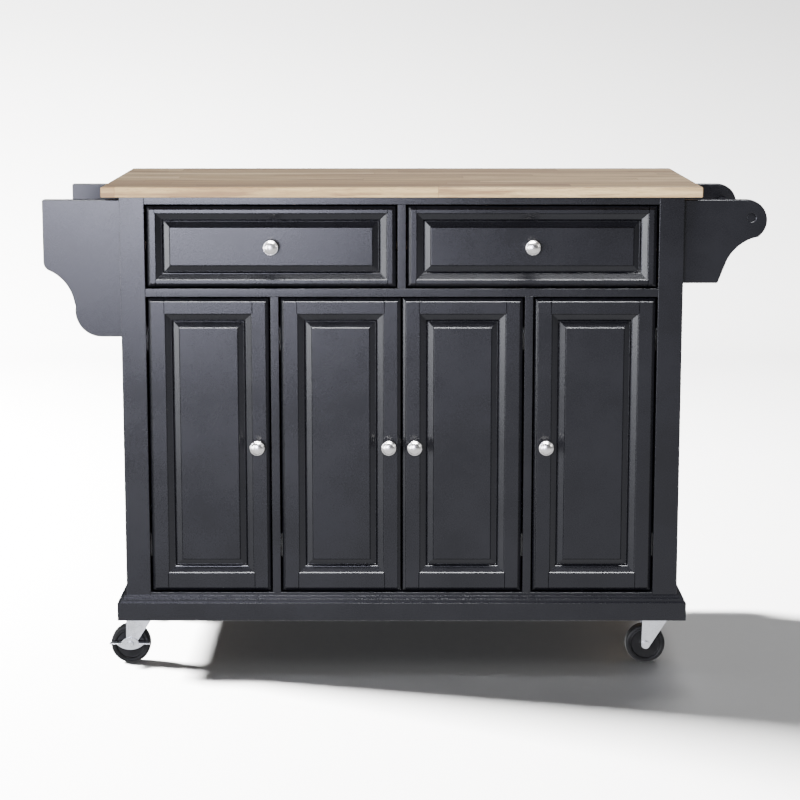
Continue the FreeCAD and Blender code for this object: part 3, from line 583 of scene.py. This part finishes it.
def stage_material():
    s = Shader("pale_floor")
    cloud = s.noise(0.7, 3.0)
    grit = s.noise(40.0, 3.0)
    height = s.node("SeparateXYZ", Vector=s.place).outputs[2]
    tone = s.ramp(cloud, (0.3, (0.52, 0.52, 0.52)), (0.7, (0.55, 0.55, 0.55)))
    # painted shade: the sweep's colour darkens with height, so the wall reads darker than the floor as if
    # it were less lit
    tone = s.mix(s.spread(height, 0.0, 1.0, 0.0, 1.4), tone, (0.24, 0.24, 0.24))
    return s.finish(Base_Color=tone, Roughness=s.spread(grit, 0.5, 0.6), Specular_IOR_Level=0.2)


def sweep():
    """A floor that curves up into a wall all round, with rounded corners."""
    mesh = bmesh.new()
    bend, tall, corner, inner = 1.2, 6.5, 0.3, -0.25
    left, right, near, far = -7.8, 7.8, -8.0, 3.0
    outline = [(inner, 0.0)]
    outline += [(bend * math.sin(math.radians(a)), bend - bend * math.cos(math.radians(a)))
                for a in range(0, 91, 6)]
    outline.append((bend, tall))
    rows = []
    for out, z in outline:
        row = []
        for x, y, start in ((right, far, 0), (left, far, 90), (left, near, 180), (right, near, 270)):
            for step in range(7):
                turn = math.radians(start + step * 15)
                reach = out + corner
                row.append(mesh.verts.new((x + reach * math.cos(turn), y + reach * math.sin(turn), z)))
        rows.append(row)
    mesh.faces.new(rows[0])
    for a, b in zip(rows, rows[1:]):
        for n in range(len(a)):
            m = (n + 1) % len(a)
            mesh.faces.new((a[n], a[m], b[m], b[n]))
    bmesh.ops.recalc_face_normals(mesh, faces=mesh.faces)
    data = bpy.data.meshes.new("studio_sweep")
    mesh.to_mesh(data)
    mesh.free()
    for face in data.polygons:
        face.use_smooth = True
    floor = bpy.data.objects.new("studio_sweep", data)
    bpy.context.scene.collection.objects.link(floor)
    data.materials.append(stage_material())
    floor.visible_diffuse = False
    floor.visible_glossy = False


def area_light(name, place, target, width, height, watts, colour=(1, 1, 1)):
    data = bpy.data.lights.new(name, "AREA")
    data.shape = "RECTANGLE"
    data.size, data.size_y = width, height
    data.energy = watts
    data.color = colour
    light = bpy.data.objects.new(name, data)
    bpy.context.scene.collection.objects.link(light)
    light.location = place
    light.rotation_mode = "QUATERNION"
    light.rotation_quaternion = (Vector(target) - Vector(place)).to_track_quat("-Z", "Y")
    return light


sweep()
groups = {name: bpy.data.collections.new("lit_" + name) for name in ("stage", "wood", "body")}
for piece in bpy.data.objects:
    if piece.type == "MESH":
        group = {"studio_sweep": "stage", "butcher_block_top": "wood"}.get(piece.name, "body")
        groups[group].objects.link(piece)


def lit(group, *description):
    """A light that only reaches one group; the description is what area_light takes."""
    light = area_light(*description)
    light.visible_camera = False
    light.light_linking.receiver_collection = groups[group]


lit("stage", "floor_key", (-4.2, 1.2, 2.75), (0.2, -0.2, 0.0), 1.05, 0.75, 10200, (1.0, 0.99, 0.98))
lit("stage", "floor_fill", (2.2, -1.9, 3.2), (0.9, 0.2, 0.0), 3.2, 2.0, 12)
lit("stage", "floor_front", (0.3, -3.6, 0.45), (0.1, 0, 0.0), 2.4, 0.5, 34)
lit("stage", "wall_left", (-3.0, 0.0, 4.5), (-7.8, 0.0, 3.5), 3.5, 3.0, 1500)
lit("stage", "floor_back", (1.5, 2.7, 2.7), (1.3, -0.3, 0.0), 2.2, 0.6, 85)

lit("wood", "wood_front", (-0.95, -4.1, 1.10), (-0.3, 0, 0.8), 1.25, 1.4, 225, (1.0, 0.96, 0.78))
lit("wood", "wood_fill", (-3.1, -3.0, 1.5), (0, 0, 0.6), 1.5, 1.7, 150, (1.0, 0.97, 0.86))
lit("wood", "wood_top", (0.5, -0.35, 2.9), (0.1, -0.2, 0.9), 2.6, 0.5, 44, (0.95, 0.97, 1.0))
lit("wood", "wood_sheen", (0.6, 3.4, 1.7), (0, 0, 0.9), 5.0, 1.0, 14, (0.86, 0.92, 1.0))
lit("wood", "wood_right", (4.5, -1.0, 2.2), (0.1, 0, 0.5), 1.6, 1.6, 50)
lit("wood", "wood_left", (-4.2, 1.6, 2.6), (0.1, 0, 0.5), 1.2, 1.2, 60, (1.0, 0.99, 0.97))
lit("body", "side_key", (-4.2, 1.6, 2.6), (0.1, 0, 0.5), 1.2, 1.2, 90, (1.0, 0.99, 0.97))
lit("body", "softbox_front", (-0.95, -4.1, 1.10), (-0.3, 0, 0.8), 1.25, 1.4, 230, (0.80, 0.81, 1.0))
lit("body", "fill_left", (-3.1, -3.0, 1.5), (0, 0, 0.6), 1.5, 1.7, 150, (0.92, 0.94, 1.0))
lit("body", "bevel_light", (-3.2, -2.7, 0.4), (0, -0.2, 0.4), 1.7, 0.7, 95, (0.92, 0.94, 1.0))
lit("body", "edge_light", (-4.0, -0.5, 0.6), (0, -0.2, 0.5), 1.0, 1.0, 60, (0.95, 0.96, 1.0))
lit("body", "rim_strip", (-0.1, -0.75, 3.1), (0, -0.2, 0.5), 2.6, 0.5, 480, (0.96, 0.97, 1.0))
lit("body", "softbox_right", (4.5, -1.0, 2.2), (0.1, 0, 0.5), 1.6, 1.6, 50)


def studio_world():
    """Dim all round, and brighter from below, where a pale floor would be."""
    world = bpy.data.worlds.new("studio")
    world.use_nodes = True
    tree = world.node_tree
    direction = tree.nodes.new("ShaderNodeTexCoord").outputs["Generated"]
    split = tree.nodes.new("ShaderNodeSeparateXYZ")
    level = tree.nodes.new("ShaderNodeMapRange")
    level.inputs["From Min"].default_value = -0.28
    level.inputs["From Max"].default_value = -0.02
    level.inputs["To Min"].default_value = 1.5
    level.inputs["To Max"].default_value = 0.12
    background = tree.nodes["Background"]
    background.inputs["Color"].default_value = (0.95, 0.96, 1.0, 1)
    tree.links.new(direction, split.inputs[0])
    tree.links.new(split.outputs[2], level.inputs["Value"])
    tree.links.new(level.outputs[0], background.inputs["Strength"])
    bpy.context.scene.world = world


studio_world()

CAMERA_PLACE = (-0.0032, -3.8845, 1.2243)
CAMERA_DOWN = 8.6
lens = bpy.data.cameras.new("camera")
lens.lens = 91.2
lens.sensor_width = 36
lens.shift_y = -0.1
camera = bpy.data.objects.new("camera", lens)
bpy.context.scene.collection.objects.link(camera)
camera.location = CAMERA_PLACE
camera.rotation_euler = (math.radians(90 - CAMERA_DOWN), 0, 0)
bpy.context.scene.camera = camera
